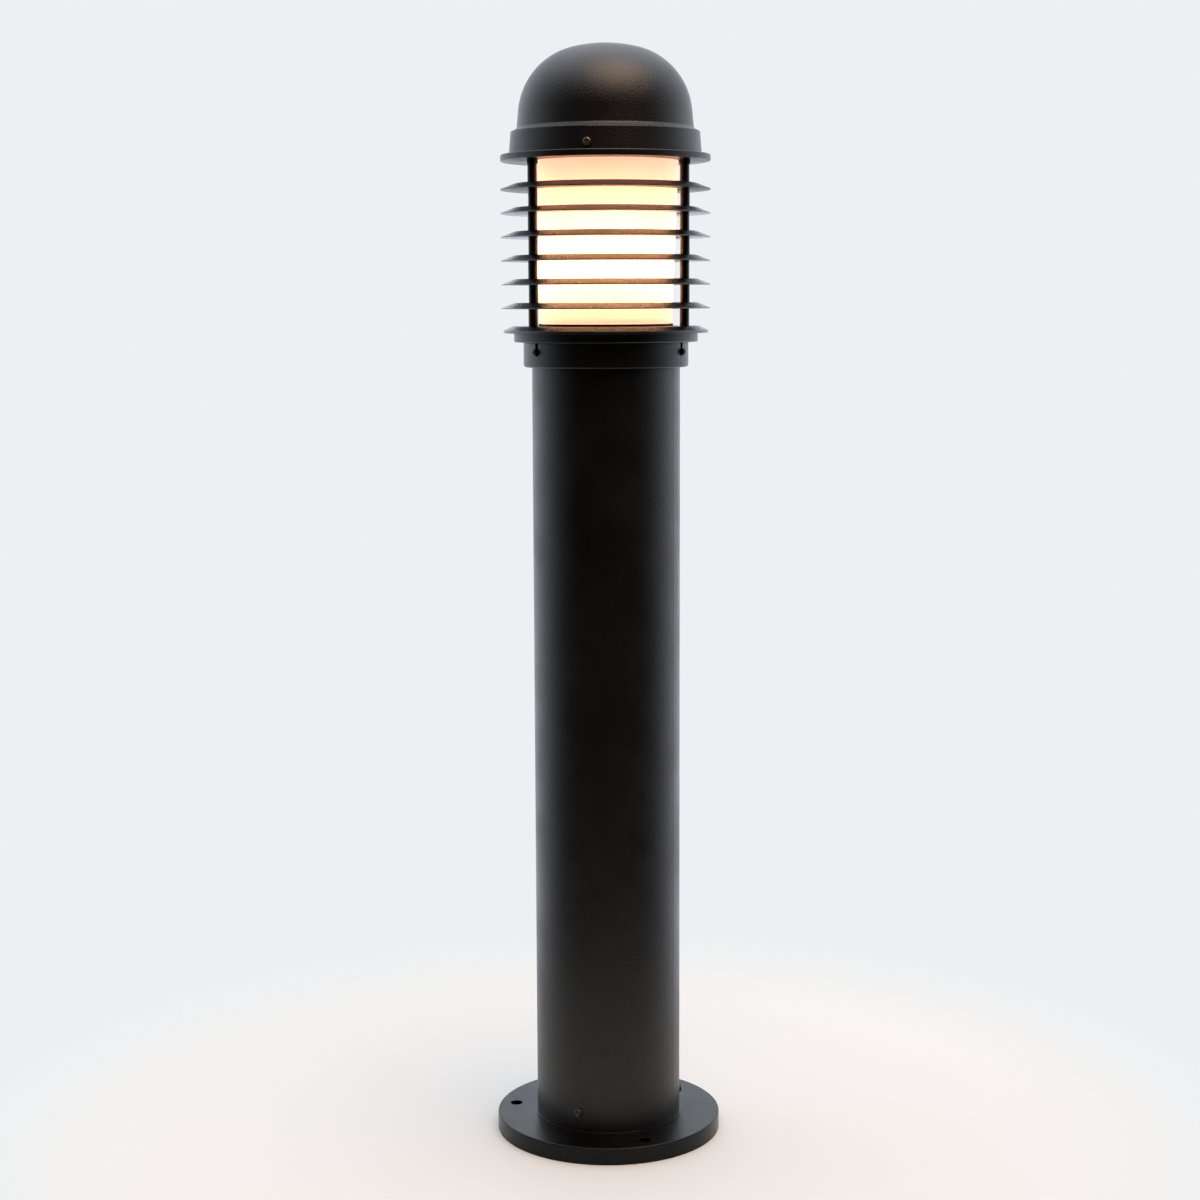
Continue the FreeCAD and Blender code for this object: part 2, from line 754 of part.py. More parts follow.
def draw_dome(sketch, corners, apex, crown_radius, shoulder_radius):
    """An outline from the axis along the corners, up a leaning wall and over two tangent arcs."""
    lean = math.radians(d.dome_lean.value)
    places = [FreeCAD.Vector(x.value, y.value, 0) for x, y in corners]
    top = FreeCAD.Vector(0, apex.value, 0)
    crown_centre = FreeCAD.Vector(0, apex.value - crown_radius.value, 0)
    centre = tangent_centre(places[-1], lean, shoulder_radius.value, crown_centre, crown_radius.value)
    outward = FreeCAD.Vector(math.cos(lean), math.sin(lean), 0)
    wall_top = centre + outward * shoulder_radius.value
    spread = centre - crown_centre
    crown_start = crown_centre + spread * (crown_radius.value / spread.Length)
    for start, end in zip(places, places[1:] + [wall_top]):
        sketch.addGeometry(Part.LineSegment(start, end), False)
    for index, (x, y) in enumerate(corners):
        if index:
            sketch.addConstraint(Sketcher.Constraint("Coincident", index - 1, 2, index, 1))
        hold_point(sketch, index, 1, x, y)
    wall = len(corners) - 1
    shoulder = sketch.addGeometry(
        arc_between(centre, shoulder_radius.value, wall_top, crown_start), False
    )
    crown = sketch.addGeometry(arc_between(crown_centre, crown_radius.value, crown_start, top), False)
    axis_line = sketch.addGeometry(Part.LineSegment(top, places[0]), False)
    sketch.addConstraint(Sketcher.Constraint("Tangent", wall, 2, shoulder, 1))
    sketch.addConstraint(Sketcher.Constraint("Tangent", shoulder, 2, crown, 1))
    sketch.addConstraint(Sketcher.Constraint("Coincident", crown, 2, axis_line, 1))
    sketch.addConstraint(Sketcher.Constraint("Coincident", axis_line, 2, 0, 1))
    sketch.addConstraint(Sketcher.Constraint("PointOnObject", crown, 3, -2))
    hold_point(sketch, axis_line, 1, ZERO, apex)
    for name, arc, radius in (("shoulder", shoulder, shoulder_radius), ("crown", crown, crown_radius)):
        sketch.addConstraint(Sketcher.Constraint("Radius", arc, radius.value))
        bind(sketch, name, radius)
    sketch.addConstraint(Sketcher.Constraint("Angle", wall, math.pi / 2 + lean))
    bind(sketch, "lean", Size(90, "((90 + dims.dome_lean) * 1 deg)"))


def make_dome_cap():
    """Cast dome with a drafted skirt, a sloped ledge and an inner shelf for its gasket."""
    foot = flange_top() + d.cap_gap
    shelf = d.upstand_top + d.cap_gasket_thickness
    body = new_body("dome_cap", azimuth=d.cap_screw_azimuth)
    outside = new_sketch(body, "XZ_Plane")
    draw_dome(outside, [
        (ZERO, foot), (d.skirt_foot_radius, foot), (d.skirt_top_radius, d.skirt_top),
        (d.ledge_radius, d.skirt_top), (d.dome_foot_radius, d.ledge_top),
    ], d.dome_apex, d.crown_radius, d.shoulder_radius)
    revolve(body, outside)
    round_edges(body, d.skirt_edge_round, [(d.skirt_top_radius, d.skirt_top)])
    round_edges(body, d.ledge_round, [(d.dome_foot_radius, d.ledge_top)])
    skirt_space = new_sketch(body, "XZ_Plane")
    draw_outline(skirt_space, [
        (ZERO, foot), (d.skirt_foot_radius - d.skirt_wall, foot),
        (d.skirt_top_radius - d.skirt_wall, shelf), (ZERO, shelf),
    ])
    revolve(body, skirt_space, kind="Groove")
    inside = new_sketch(body, "XZ_Plane")
    inner_foot = d.dome_foot_radius - d.dome_thickness
    shelf_top = shelf + d.shelf_thickness
    draw_dome(inside, [
        (ZERO, shelf), (d.upstand_bore, shelf), (d.upstand_bore, shelf_top), (inner_foot, shelf_top),
    ], d.dome_apex - d.dome_thickness, d.crown_radius - d.dome_thickness,
        d.shoulder_radius - d.dome_thickness)
    revolve(body, inside, kind="Groove")
    holes = new_sketch(body, "XZ_Plane")
    draw_circle(holes, ZERO, d.cap_screw_height, d.cap_screw_radius + d.fit_gap / 4)
    repeat_around(body, [pocket(body, holes, d.base_radius, reverse=True)])


def make_cap_gasket():
    """Flat ring stuck under the cap's shelf."""
    ring_body("cap_gasket", d.upstand_bore, d.upstand_radius, d.upstand_top,
              d.upstand_top + d.cap_gasket_thickness)


def make_cap_screws():
    """Three cross-head screws tapped through the skirt; their points face the upstand."""
    foot = flange_top() + d.cap_gap
    climb = (d.cap_screw_height - d.cap_screw_head_radius - foot) / (d.skirt_top - foot)
    seat = d.skirt_foot_radius - (d.skirt_foot_radius - d.skirt_top_radius) * climb
    radial_screws("cap_screws", d.upstand_radius + d.cap_screw_gap, seat, d.cap_screw_radius,
                  d.cap_screw_head_radius, d.cap_screw_head_height, d.cap_screw_height,
                  d.cap_screw_azimuth - 90, "cross")


# Lampholder, lamp and wiring


def bracket_top():
    """Height of the bracket's upper face, where the lampholder stands."""
    return d.lantern_floor + d.bracket_rise


def make_bracket():
    """Hat-shaped steel strip that raises the lampholder above the lantern floor."""
    body = new_body("lampholder_bracket")
    sketch = new_sketch(body, "XZ_Plane")
    floor = d.lantern_floor
    foot = floor + d.bracket_thickness
    under = bracket_top() - d.bracket_thickness
    inner = d.bracket_top_reach - d.bracket_thickness
    right = [
        (inner, floor), (d.bracket_reach, floor), (d.bracket_reach, foot),
        (d.bracket_top_reach, foot), (d.bracket_top_reach, bracket_top()),
    ]
    left = [(-x, y) for x, y in reversed(right)]
    draw_outline(sketch, right + left + [(-inner, under), (inner, under)])
    pad(body, sketch, d.bracket_width, symmetric=True)
    holes = new_sketch(body, "XY_Plane")
    for reach in (d.bracket_screw_reach, -d.bracket_screw_reach):
        draw_circle(holes, reach, ZERO, d.small_screw_radius + d.fit_gap)
    pocket(body, holes)


def standing_screw(body, x, y, seat):
    """A pan-head screw that stands in a hole along Z, its head on the seat."""
    shank = new_sketch(body, "XY_Plane", seat - d.small_screw_length)
    draw_circle(shank, x, y, d.small_screw_radius)
    pad(body, shank, d.small_screw_length)
    head = new_sketch(body, "XY_Plane", seat)
    draw_circle(head, x, y, d.small_screw_head_radius)
    pad(body, head, d.small_screw_head_height)


def make_small_screws():
    """Bracket screws and the lantern's earth screw."""
    bracket_screws = new_body("bracket_screws")
    for reach in (d.bracket_screw_reach, -d.bracket_screw_reach):
        standing_screw(bracket_screws, reach, ZERO, d.lantern_floor + d.bracket_thickness)
    earth = new_body("lantern_earth_screw")
    standing_screw(earth, -d.bracket_screw_reach, d.bracket_screw_reach, d.lantern_floor)


def make_lampholder():
    """Ceramic screw lampholder with its threaded shell and centre contact."""
    turned_body("lampholder_body", [
        (ZERO, ZERO), (d.holder_radius, ZERO), (d.holder_radius, d.holder_shoulder),
        (d.holder_rim_radius, d.holder_shoulder), (d.holder_rim_radius, d.holder_height),
        (d.holder_bore, d.holder_height), (d.holder_bore, d.holder_floor), (ZERO, d.holder_floor),
    ], height=bracket_top())
    ring_body("lampholder_shell", d.holder_shell_bore, d.holder_shell_radius,
              d.holder_floor + d.holder_contact_height, d.holder_height - d.holder_contact_height,
              height=bracket_top())
    contact = new_body("lampholder_contact", height=bracket_top() + d.holder_floor)
    sketch = new_sketch(contact, "XY_Plane")
    draw_circle(sketch, ZERO, ZERO, d.holder_contact_radius)
    pad(contact, sketch, d.holder_contact_height)


def make_lamp():
    """Screw-cap lamp: contact, insulator, metal screw cap, housing and opal bulb."""
    insulator = d.lamp_tip + d.lamp_contact_height
    screw = insulator + d.lamp_insulator_height
    housing = screw + d.lamp_screw_height
    bulb = housing + d.lamp_housing_height
    turned_body("lamp_contact", [
        (ZERO, d.lamp_tip), (d.lamp_contact_radius, d.lamp_tip), (d.lamp_contact_radius, insulator),
        (ZERO, insulator),
    ])
    turned_body("lamp_insulator", [
        (ZERO, insulator), (d.lamp_contact_radius, insulator), (d.lamp_insulator_radius, screw),
        (ZERO, screw),
    ])
    turned_body("lamp_screw_cap", [
        (ZERO, screw), (d.lamp_screw_radius, screw), (d.lamp_screw_radius, housing), (ZERO, housing),
    ])
    turned_body("lamp_housing", [
        (ZERO, housing), (d.lamp_screw_radius, housing), (d.lamp_housing_radius, bulb), (ZERO, bulb),
    ])
    top = bulb + d.lamp_bulb_height
    body = turned_body("lamp_bulb", [
        (ZERO, bulb), (d.lamp_housing_radius, bulb),
        (d.lamp_bulb_radius, bulb + d.lamp_bulb_height * 0.42), (d.lamp_bulb_radius, top), (ZERO, top),
    ])
    round_edges(body, d.lamp_bulb_radius * 0.9, [(d.lamp_bulb_radius, top)])


def make_terminal_block():
    """Three-way terminal block in front of the lampholder, with its clamping screws."""
    block = new_body("terminal_block", y=-d.block_distance, height=d.lantern_floor)
    outline = new_sketch(block, "XY_Plane")
    half_length = d.block_length / 2
    half_width = d.block_width / 2
    draw_outline(outline, [
        (-half_length, -half_width), (half_length, -half_width), (half_length, half_width),
        (-half_length, half_width),
    ])
    pad(block, outline, d.block_height)
    wells = new_sketch(block, "XY_Plane", d.block_height)
    screws = new_body("terminal_screws", y=-d.block_distance, height=d.lantern_floor)
    well_floor = d.block_height - d.terminal_well_depth
    screw_sketch = new_sketch(screws, "XY_Plane", well_floor)
    for step in (-1, 0, 1):
        draw_circle(wells, d.terminal_pitch * step, ZERO, d.terminal_well_radius)
        draw_circle(screw_sketch, d.terminal_pitch * step, ZERO, d.terminal_screw_radius)
    pocket(block, wells, d.terminal_well_depth)
    pad(screws, screw_sketch, d.terminal_screw_height)


def make_lead(label, side):
    """Insulated lead from the terminal block, bent once, up to the lampholder."""
    run_height = bracket_top() - d.lead_drop
    bend_centre = -(d.lead_rise_distance + d.lead_bend)
    block_face = -(d.block_distance - d.block_width / 2)
    body = new_body(label, x=d.lead_spread * side)
    run = new_sketch(body, "XZ_Plane", -block_face)
    draw_circle(run, ZERO, run_height, d.lead_radius)
    level_run = pad(body, run, bend_centre - block_face)
    level_run.Reversed = True
    bend = new_sketch(body, "XZ_Plane", -bend_centre)
    draw_circle(bend, ZERO, run_height, d.lead_radius)
    axis = new_sketch(body, "XZ_Plane", -bend_centre)
    draw_bend_axis(axis, run_height + d.lead_bend)
    corner = add_feature(body, "Revolution", bend)
    corner.ReferenceAxis = (axis, ["Edge1"])
    corner.Angle = 90
    rise = new_sketch(body, "XY_Plane", run_height + d.lead_bend)
    draw_circle(rise, ZERO, -d.lead_rise_distance, d.lead_radius)
    pad(body, rise, d.lead_drop - d.lead_bend)


def draw_bend_axis(sketch, height):
    """A level line that the lead's bend turns about."""
    reach = d.lead_bend
    line = sketch.addGeometry(Part.LineSegment(
        FreeCAD.Vector(-reach.value, height.value, 0), FreeCAD.Vector(reach.value, height.value, 0)
    ), False)
    hold_point(sketch, line, 1, -reach, height)
    hold_point(sketch, line, 2, reach, height)


def make_gland():
    """Cable gland hanging under the lantern floor, with its clamping cap and lock nut."""
    place = {"y": d.gland_distance}
    under = d.head_seat
    hex_bottom = under - d.gland_hex_height
    neck_radius = d.gland_thread_radius - d.fit_gap
    gland = new_body("gland_body", **place)
    hexagon = new_sketch(gland, "XY_Plane", hex_bottom)
    draw_polygon(hexagon, ZERO, ZERO, d.gland_flats)
    draw_circle(hexagon, ZERO, ZERO, d.gland_bore)
    pad(gland, hexagon, d.gland_hex_height)
    upper = (under, d.gland_thread_length)
    lower = (hex_bottom - d.gland_neck_length, d.gland_neck_length)
    for bottom, length in (upper, lower):
        thread = new_sketch(gland, "XY_Plane", bottom)
        draw_circle(thread, ZERO, ZERO, neck_radius)
        draw_circle(thread, ZERO, ZERO, d.gland_bore)
        pad(gland, thread, length)
    cap_bottom = hex_bottom - d.gland_cap_length
    ring_body("gland_cap_nut", neck_radius + d.fit_gap / 4, d.gland_cap_radius, cap_bottom,
              hex_bottom - d.fit_gap, **place)
    lock = new_body("gland_lock_nut", **place)
    hex_prism_around(lock, ZERO, d.gland_flats, d.lantern_floor, d.gland_lock_height,
                     neck_radius + d.fit_gap / 4)


def build():
    """Make every sub-part."""
    fill_sheet()
    make_base_flange()
    make_base_spigot()
    make_post_tube()
    make_post_screws()
    make_post_collar()
    make_earth_stud()
    make_lantern_base()
    make_collar_screws()
    make_cage_plate()
    make_louvres()
    make_spacers()
    make_tie_rods()
    make_top_flange()
    make_diffuser()
    make_bracket()
    make_small_screws()
    make_lampholder()
    make_lamp()
    make_terminal_block()
    make_lead("live_lead", -1)
    make_lead("neutral_lead", 1)
    make_gland()
    make_dome_cap()
    make_cap_gasket()
    make_cap_screws()
    doc.recompute()


def check():
    """Stop on any failed object or broken shape."""
    for thing in doc.Objects:
        if "Invalid" in thing.State or "Error" in thing.State:
            raise RuntimeError("%s failed: %s" % (thing.Label, thing.State))
    for node in nodes:
        if node.Shape.isNull() or not node.Shape.isValid() or not node.Shape.Solids:
            raise RuntimeError(node.Label + " has no valid solid")


def write():
    """Write each sub-part to its own STEP file."""
    os.makedirs("parts", exist_ok=True)
    for node in nodes:
        box = node.Shape.BoundBox
        print("%-22s %d solid(s) %10.1f mm3  z %.1f to %.1f"
              % (node.Label, len(node.Shape.Solids), node.Shape.Volume, box.ZMin, box.ZMax))
        node.Shape.exportStep("parts/%s.step" % node.Label)


build()
check()
write()
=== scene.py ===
import bpy
import json
import math
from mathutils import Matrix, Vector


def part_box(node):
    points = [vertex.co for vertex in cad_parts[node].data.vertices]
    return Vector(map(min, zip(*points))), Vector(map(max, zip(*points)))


# The looks of the louvred bollard light: materials, floor, studio light and camera.
# Sizes are in metres and azimuths in degrees, counted from the front (-Y) towards +X.

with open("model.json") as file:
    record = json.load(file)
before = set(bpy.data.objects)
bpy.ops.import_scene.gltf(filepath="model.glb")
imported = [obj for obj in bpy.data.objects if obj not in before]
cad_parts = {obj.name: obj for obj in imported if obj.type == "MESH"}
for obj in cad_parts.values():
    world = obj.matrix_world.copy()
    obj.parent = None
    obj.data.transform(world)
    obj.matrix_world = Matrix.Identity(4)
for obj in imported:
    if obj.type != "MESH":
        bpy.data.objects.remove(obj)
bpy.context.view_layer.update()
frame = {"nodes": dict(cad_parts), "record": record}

CAMERA_AZIMUTH = math.radians(-4.5)
CAMERA_DISTANCE = 1.9378
CAMERA_HEIGHT = 0.7434
CAMERA_PITCH = math.radians(7.724)
CAMERA_YAW = math.radians(-0.148)
CAMERA_ROLL = math.radians(0.22)
CAMERA_LENS = 66.56

# The diffuser is brightest at this height and fades over these distances above and below it.
GLOW_HEIGHT = 0.765
GLOW_ABOVE = 0.092
GLOW_BELOW = 0.050
GLOW_STOPS = (
    (0.0, (1.75, 0.88, 0.52)),
    (0.40, (1.30, 0.64, 0.37)),
    (0.75, (0.80, 0.36, 0.24)),
    (1.0, (0.50, 0.25, 0.19)),
)

# The floor is solid out to the first radius and has faded away at the second.
FLOOR_REACH = 1.0
FLOOR_FADE = (0.36, 0.62)
FLOOR_TINTS = ((0.535, 0.566, 0.560, 1.0), (0.545, 0.576, 0.570, 1.0))

# Each patch of studio light has an azimuth, an elevation, the angle from its middle at which it
# starts to fade, the angle at which it ends, and a colour.
LIGHT_PATCHES = (
    (174, 12, 42, 122, (1.20, 1.30, 1.45)),
    (0, 90, 16, 58, (1.02, 1.06, 1.16)),
    (30, 66, 8, 36, (3.8, 2.4, 1.5)),
)
DIM_SURROUNDINGS = (0.026, 0.020, 0.017)
PALE_BACKDROP = (0.848, 0.868, 0.888, 1.0)

LOUVRE_COUNT = 6


def add_node(tree, kind, settings=None, **inputs):
    """A new shader node; inputs are values or other nodes' outputs, and i2 means input number 2."""
    node = tree.nodes.new("ShaderNode" + kind)
    for name, value in (settings or {}).items():
        setattr(node, name, value)
    for name, value in inputs.items():
        socket = node.inputs[int(name[1:]) if name[0] == "i" and name[1:].isdigit() else name]
        if isinstance(value, bpy.types.NodeSocket):
            tree.links.new(value, socket)
        else:
            socket.default_value = value
    return node


class Look:
    """A procedural material on a Principled shader; sizes are in metres in the row frame."""

    def __init__(self, name, **sockets):
        self.material = bpy.data.materials.new(name)
        self.material.use_nodes = True
        self.links = self.material.node_tree.links
        self.shader = self.material.node_tree.nodes["Principled BSDF"]
        self.place = self.add("TexCoord").outputs["Object"]
        for socket, value in sockets.items():
            self.shader.inputs[socket.replace("_", " ")].default_value = value

    def add(self, kind, settings=None, **inputs):
        """A new node in this material."""
        return add_node(self.material.node_tree, kind, settings, **inputs)

    def noise(self, size, detail=2.0, stretch=None):
        """Noise whose blobs are about this size; stretch scales it along each axis."""
        place = self.place
        if stretch:
            place = self.add("Mapping", Vector=place, Scale=stretch).outputs["Vector"]
        return self.add("TexNoise", Vector=place, Scale=1 / size, Detail=detail).outputs["Fac"]

    def spots(self, size):
        """Distance to the nearest of many scattered points."""
        return self.add("TexVoronoi", Vector=self.place, Scale=1 / size).outputs["Distance"]

    def height(self):
        """Height above the ground."""
        return self.add("SeparateXYZ", Vector=self.place).outputs["Z"]

    def fit(self, source, low, high, out_low=0.0, out_high=1.0):
        """The source from low to high, clamped and stretched to the output range."""
        return self.add("MapRange", i0=source, i1=low, i2=high, i3=out_low, i4=out_high).outputs[0]

    def math(self, operation, first, second=0.0):
        """One maths step."""
        return self.add("Math", {"operation": operation}, i0=first, i1=second).outputs[0]

    def mix(self, factor, first, second):
        """A blend of two colours."""
        node = self.add("Mix", {"data_type": "RGBA"}, i0=factor, i6=first, i7=second)
        return node.outputs[2]

    def ramp(self, source, stops):
        """A colour ramp with smooth steps; each stop is a position and a colour."""
        node = self.add("ValToRGB", i0=source)
        node.color_ramp.interpolation = "EASE"
        while len(node.color_ramp.elements) < len(stops):
            node.color_ramp.elements.new(0.5)
        for element, (position, colour) in zip(node.color_ramp.elements, stops):
            element.position = position
            element.color = (*colour, 1.0)
        return node.outputs["Color"]

    def feed(self, socket, source):
        """Drive one of the shader's sockets."""
        self.links.new(source, self.shader.inputs[socket])

    def relief(self, height, distance, strength=1.0, under=None):
        """Bump from a height between 0 and 1."""
        node = self.add("Bump", Height=height, Distance=distance, Strength=strength)
        if under is not None:
            self.links.new(under, node.inputs["Normal"])
        return node.outputs["Normal"]

    def soft_edges(self, radius):
        """A normal that rounds sharp edges, and a mask of where it does."""
        bevel = self.add("Bevel", {"samples": 6}, Radius=radius).outputs["Normal"]
        true = self.add("NewGeometry").outputs["Normal"]
        match = self.add("VectorMath", {"operation": "DOT_PRODUCT"}, i0=bevel, i1=true)
        return bevel, self.fit(match.outputs["Value"], 0.995, 0.80)

    def facing_up(self):
        """How far the surface faces up, 0 to 1."""
        normal = self.add("NewGeometry").outputs["Normal"]
        height = self.add("SeparateXYZ", Vector=normal).outputs["Z"]
        return self.fit(height, 0.35, 0.95)


def grey(value, warm=0.0):
    """A near-grey colour, a little warmer or cooler."""
    return (value * (1 + warm), value, value * (1 - warm), 1.0)


def powder_coat(name, tone=0.0032, rough=0.37, dust=0.03, grain=0.0011, gloss=0.48):
    """Fine-textured black powder coating with dust on top and rubbed edges."""
    look = Look(name, IOR=1.5, Specular_IOR_Level=gloss)
    fine = look.noise(grain, 3)
    pimples = look.spots(grain * 1.7)
    cloud = look.noise(0.045, 4)
    edge_normal, edge = look.soft_edges(0.0007)
    worn = look.math("MULTIPLY", edge, look.fit(look.noise(0.006, 4), 0.45, 0.7))
    base = look.mix(look.fit(fine, 0.35, 0.65), grey(tone * 0.6, 0.10), grey(tone * 1.6, 0.16))
    base = look.mix(look.fit(cloud, 0.35, 0.7, 0.0, 0.35), base, grey(tone * 1.7, 0.05))
    base = look.mix(look.math("MULTIPLY", worn, 0.4), base, grey(0.035, 0.08))
    settled = look.math("MULTIPLY", look.facing_up(), look.fit(look.noise(0.018, 6), 0.42, 0.72))
    specks = look.fit(look.spots(0.0032), 0.16, 0.05)
    dusty = look.math("MULTIPLY", settled, look.fit(specks, 0.0, 1.0, dust, dust * 5))
    base = look.mix(dusty, base, (0.15, 0.135, 0.115, 1.0))
    look.feed("Base Color", base)
    rubbed = look.fit(cloud, 0.3, 0.75, rough - 0.05, rough + 0.06)
    rubbed = look.math("SUBTRACT", rubbed, look.math("MULTIPLY", worn, 0.10))
    look.feed("Roughness", look.math("ADD", rubbed, look.math("MULTIPLY", dusty, 0.5)))
    height = look.math("ADD", look.fit(fine, 0.3, 0.7), look.fit(pimples, 0.0, 0.6, 0.5, 0.0))
    look.feed("Normal", look.relief(height, 0.00012, 0.8, edge_normal))
    return look


def scuffed_tube(name):
    """The post's coating: powder coat with a few nicks and faint upright rub marks."""
    look = powder_coat(name, dust=0.0)
    shader_colour = look.shader.inputs["Base Color"].links[0].from_socket
    rubs = look.fit(look.noise(0.004, 5, (1.0, 1.0, 0.05)), 0.60, 0.78)
    rubs = look.math("MULTIPLY", rubs, look.fit(look.noise(0.09, 2), 0.50, 0.66))
    nicks = look.fit(look.spots(0.047), 0.030, 0.018)
    colour = look.mix(look.math("MULTIPLY", rubs, 0.10), shader_colour, grey(0.04, 0.05))
    look.feed("Base Color", look.mix(look.math("MULTIPLY", nicks, 0.45), colour, grey(0.12, 0.08)))
    return look


def plated_steel(name, colour, rough=0.34, tarnish=(0.10, 0.055, 0.03, 1.0), amount=0.35):
    """Plated steel with fine turning marks, and dull brownish tarnish in patches."""
    look = Look(name, Metallic=1.0)
    edge_normal, edge = look.soft_edges(0.0003)
    patches = look.fit(look.noise(0.0028, 5), 0.42, 0.68)
    stained = look.math("MULTIPLY", patches, amount)
    body = look.mix(look.fit(look.noise(0.0007, 2), 0.3, 0.7, 0.0, 0.3), colour, grey(0.28, 0.05))
    body = look.mix(stained, body, tarnish)
    look.feed("Base Color", look.mix(look.math("MULTIPLY", edge, 0.25), body, grey(0.75, 0.03)))
    look.feed("Roughness", look.fit(stained, 0.0, 0.6, rough, rough + 0.32))
    marks = look.noise(0.0006, 3, (1.0, 1.0, 0.25))
    look.feed("Normal", look.relief(marks, 0.00002, 0.5, edge_normal))
    return look


def black_oxide(name):
    """Black-oxide steel, rubbed brighter along its edges."""
    look = Look(name, Metallic=1.0)
    edge_normal, edge = look.soft_edges(0.0003)
    worn = look.math("MULTIPLY", edge, look.fit(look.noise(0.0012, 3), 0.4, 0.7))
    base = look.mix(look.noise(0.0015, 3), grey(0.010, 0.03), grey(0.028, 0.05))
    look.feed("Base Color", look.mix(look.math("MULTIPLY", worn, 0.4), base, grey(0.20, 0.06)))
    look.feed("Roughness", look.fit(look.noise(0.002, 4), 0.3, 0.7, 0.34, 0.52))
    look.feed("Normal", look.relief(look.noise(0.0005, 2), 0.00002, 0.5, edge_normal))
    return look


def brass(name):
    """Bright drawn brass with light tarnish."""
    look = Look(name, Metallic=1.0)
    tarnish = look.fit(look.noise(0.006, 5), 0.42, 0.72)
    look.feed("Base Color", look.mix(tarnish, (0.74, 0.53, 0.22, 1.0), (0.40, 0.24, 0.09, 1.0)))
    look.feed("Roughness", look.fit(tarnish, 0.0, 1.0, 0.20, 0.46))
    look.feed("Normal", look.relief(look.noise(0.0008, 2, (1.0, 1.0, 6.0)), 0.00002, 0.5))
    return look


def rubber(name):
    """Black moulded rubber with a faint bloom."""
    look = Look(name, Specular_IOR_Level=0.35)
    bloom = look.fit(look.noise(0.008, 5), 0.40, 0.75)
    look.feed("Base Color", look.mix(bloom, grey(0.011), grey(0.030, 0.03)))
    look.feed("Roughness", look.fit(bloom, 0.0, 1.0, 0.62, 0.86))
    look.feed("Normal", look.relief(look.noise(0.0006, 3), 0.00004, 0.6))
    return look


def moulded(name, colour, rough=0.42):
    """Moulded plastic with a fine spark-eroded grain and slight shade changes."""
    look = Look(name, IOR=1.49)
    shade = tuple(channel * 0.82 for channel in colour[:3]) + (1.0,)
    handled = look.fit(look.noise(0.015, 5), 0.40, 0.75)
    look.feed("Base Color", look.mix(look.math("MULTIPLY", handled, 0.6), colour, shade))
    look.feed("Roughness", look.fit(handled, 0.0, 1.0, rough, rough + 0.16))
    edge_normal, _ = look.soft_edges(0.0004)
    look.feed("Normal", look.relief(look.noise(0.0004, 2), 0.00002, 0.5, edge_normal))
    return look


def glazed_ceramic(name):
    """White glazed porcelain with slight waviness and iron specks."""
    look = Look(name, IOR=1.52, Coat_Weight=0.5, Coat_Roughness=0.08)
    specks = look.fit(look.spots(0.0045), 0.11, 0.06)
    tint = look.mix(look.noise(0.012, 4), (0.80, 0.785, 0.74, 1.0), (0.87, 0.86, 0.83, 1.0))
    iron = look.math("MULTIPLY", specks, 0.5)
    look.feed("Base Color", look.mix(iron, tint, (0.30, 0.24, 0.18, 1.0)))
    look.feed("Roughness", look.fit(look.noise(0.008, 3), 0.3, 0.7, 0.12, 0.26))
    edge_normal, _ = look.soft_edges(0.0008)
    look.feed("Normal", look.relief(look.noise(0.003, 2), 0.00006, 0.5, edge_normal))
    return look


def opal_diffuser(name):
    """Opal tube, lit from inside: brightest level with the lamp, warm towards its ends."""
    look = Look(name, IOR=1.49, Transmission_Weight=0.50, Emission_Strength=1.0)
    height = look.height()
    above = look.fit(height, GLOW_HEIGHT, GLOW_HEIGHT + GLOW_ABOVE)
    below = look.fit(height, GLOW_HEIGHT, GLOW_HEIGHT - GLOW_BELOW)
    cloud = look.fit(look.noise(0.03, 4), 0.3, 0.7, -0.04, 0.04)
    away = look.math("ADD", look.math("MAXIMUM", above, below), cloud)
    look.feed("Emission Color", look.ramp(away, GLOW_STOPS))
    tint = look.mix(look.noise(0.02, 4), (0.96, 0.90, 0.78, 1.0), (0.92, 0.85, 0.70, 1.0))
    look.feed("Base Color", tint)
    look.feed("Roughness", look.fit(look.noise(0.01, 4), 0.3, 0.7, 0.50, 0.60))
    look.feed("Normal", look.relief(look.noise(0.0012, 3), 0.00003, 0.4))
    return look


def lit_bulb(name):
    """Frosted lamp glass, glowing."""
    look = Look(name, IOR=1.5, Emission_Strength=3.6)
    low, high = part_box("lamp_bulb")
    mottle = look.fit(look.noise(0.01, 3), 0.3, 0.7, -0.05, 0.05)
    glow = look.math("ADD", look.fit(look.height(), low.z, high.z), mottle)
    look.feed("Emission Color", look.mix(glow, (0.84, 0.42, 0.20, 1.0), (0.86, 0.48, 0.26, 1.0)))
    look.feed("Base Color", look.mix(mottle, (0.93, 0.92, 0.88, 1.0), (0.88, 0.86, 0.80, 1.0)))
    look.feed("Roughness", look.fit(look.noise(0.006, 3), 0.3, 0.7, 0.30, 0.42))
    look.feed("Normal", look.relief(look.noise(0.0009, 2), 0.00002, 0.4))
    return look


